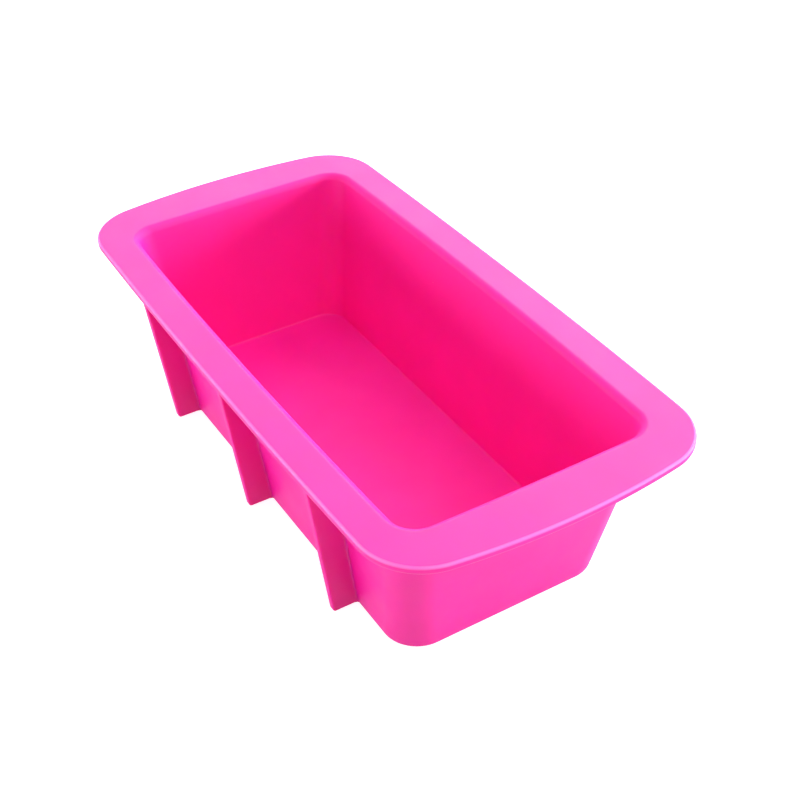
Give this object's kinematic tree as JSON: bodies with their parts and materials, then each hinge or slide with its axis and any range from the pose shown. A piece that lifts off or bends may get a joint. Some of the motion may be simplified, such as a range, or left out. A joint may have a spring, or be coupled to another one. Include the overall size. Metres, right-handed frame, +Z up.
{
  "type": "soap loaf mould",
  "caption": "Flexible loaf mould: a drafted rectangular tub with rounded corners, a wide flat rim round its mouth, and upright ribs under the rim along both long sides.",
  "frame": {"origin": "centre of the flat bottom face that the mould stands on", "axes": "+X along the length, +Y across the width towards the rear ribs, +Z up out of the mouth"},
  "size_m": [0.256, 0.127, 0.066],
  "materials": {
    "silicone": "satin, slightly translucent moulded silicone"
  },
  "bodies": {
    "root": {"floor_panel": "silicone", "tub_wall": "silicone", "rim_flange": "silicone", "rib_front_left": "silicone", "rib_front_middle": "silicone", "rib_front_right": "silicone", "rib_rear_left": "silicone", "rib_rear_middle": "silicone", "rib_rear_right": "silicone"}
  },
  "joints": []
}
